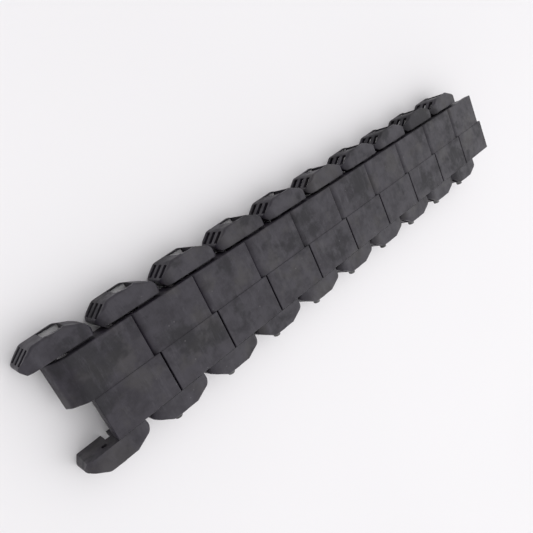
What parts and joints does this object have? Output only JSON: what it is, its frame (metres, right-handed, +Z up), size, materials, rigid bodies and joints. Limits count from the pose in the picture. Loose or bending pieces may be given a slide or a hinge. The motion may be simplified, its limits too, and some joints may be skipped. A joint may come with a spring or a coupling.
{
  "type": "crawler track section",
  "caption": "Straight length of moulded crawler track: hinged links with smooth tread plates, hollow slotted side lugs and cross pins.",
  "frame": {"origin": "bottom centre of the whole length of track, on the surface it lies on", "axes": "+X along the track from the empty fork to the last knuckle, +Y towards the left lugs, +Z up out of the smooth tread plates"},
  "size_m": [0.2516, 0.0477, 0.0135],
  "materials": {
    "track_plastic": "matte, slightly dusty",
    "pin_steel": "dark oxide"
  },
  "bodies": {
    "link_01": {"link_plate_01": "track_plastic", "lug_left_01": "track_plastic", "lug_right_01": "track_plastic"},
    "link_02": {"link_plate_02": "track_plastic", "lug_left_02": "track_plastic", "lug_right_02": "track_plastic", "hinge_pin_02": "pin_steel"},
    "link_03": {"link_plate_03": "track_plastic", "lug_left_03": "track_plastic", "lug_right_03": "track_plastic", "hinge_pin_03": "pin_steel"},
    "link_04": {"link_plate_04": "track_plastic", "lug_left_04": "track_plastic", "lug_right_04": "track_plastic", "hinge_pin_04": "pin_steel"},
    "link_05": {"link_plate_05": "track_plastic", "lug_left_05": "track_plastic", "lug_right_05": "track_plastic", "hinge_pin_05": "pin_steel"},
    "link_06": {"link_plate_06": "track_plastic", "lug_left_06": "track_plastic", "lug_right_06": "track_plastic", "hinge_pin_06": "pin_steel"},
    "link_07": {"link_plate_07": "track_plastic", "lug_left_07": "track_plastic", "lug_right_07": "track_plastic", "hinge_pin_07": "pin_steel"},
    "link_08": {"link_plate_08": "track_plastic", "lug_left_08": "track_plastic", "lug_right_08": "track_plastic", "hinge_pin_08": "pin_steel"},
    "link_09": {"link_plate_09": "track_plastic", "lug_left_09": "track_plastic", "lug_right_09": "track_plastic", "hinge_pin_09": "pin_steel"},
    "link_10": {"link_plate_10": "track_plastic", "lug_left_10": "track_plastic", "lug_right_10": "track_plastic", "hinge_pin_10": "pin_steel"}
  },
  "joints": [
    {"name": "hinge_02", "type": "hinge", "parent": "link_01", "child": "link_02", "pos_m": [-0.09306, 0, 0.0079], "axis": [0, 1, 0], "range_deg": [-2, 30]},
    {"name": "hinge_03", "type": "hinge", "parent": "link_02", "child": "link_03", "pos_m": [-0.06906, 0, 0.0079], "axis": [0, 1, 0], "range_deg": [-2, 30]},
    {"name": "hinge_04", "type": "hinge", "parent": "link_03", "child": "link_04", "pos_m": [-0.04506, 0, 0.0079], "axis": [0, 1, 0], "range_deg": [-2, 30]},
    {"name": "hinge_05", "type": "hinge", "parent": "link_04", "child": "link_05", "pos_m": [-0.02106, 0, 0.0079], "axis": [0, 1, 0], "range_deg": [-2, 30]},
    {"name": "hinge_06", "type": "hinge", "parent": "link_05", "child": "link_06", "pos_m": [0.00294, 0, 0.0079], "axis": [0, 1, 0], "range_deg": [-2, 30]},
    {"name": "hinge_07", "type": "hinge", "parent": "link_06", "child": "link_07", "pos_m": [0.02694, 0, 0.0079], "axis": [0, 1, 0], "range_deg": [-2, 30]},
    {"name": "hinge_08", "type": "hinge", "parent": "link_07", "child": "link_08", "pos_m": [0.05094, 0, 0.0079], "axis": [0, 1, 0], "range_deg": [-2, 30]},
    {"name": "hinge_09", "type": "hinge", "parent": "link_08", "child": "link_09", "pos_m": [0.07494, 0, 0.0079], "axis": [0, 1, 0], "range_deg": [-2, 30]},
    {"name": "hinge_10", "type": "hinge", "parent": "link_09", "child": "link_10", "pos_m": [0.09894, 0, 0.0079], "axis": [0, 1, 0], "range_deg": [-2, 30]}
  ]
}
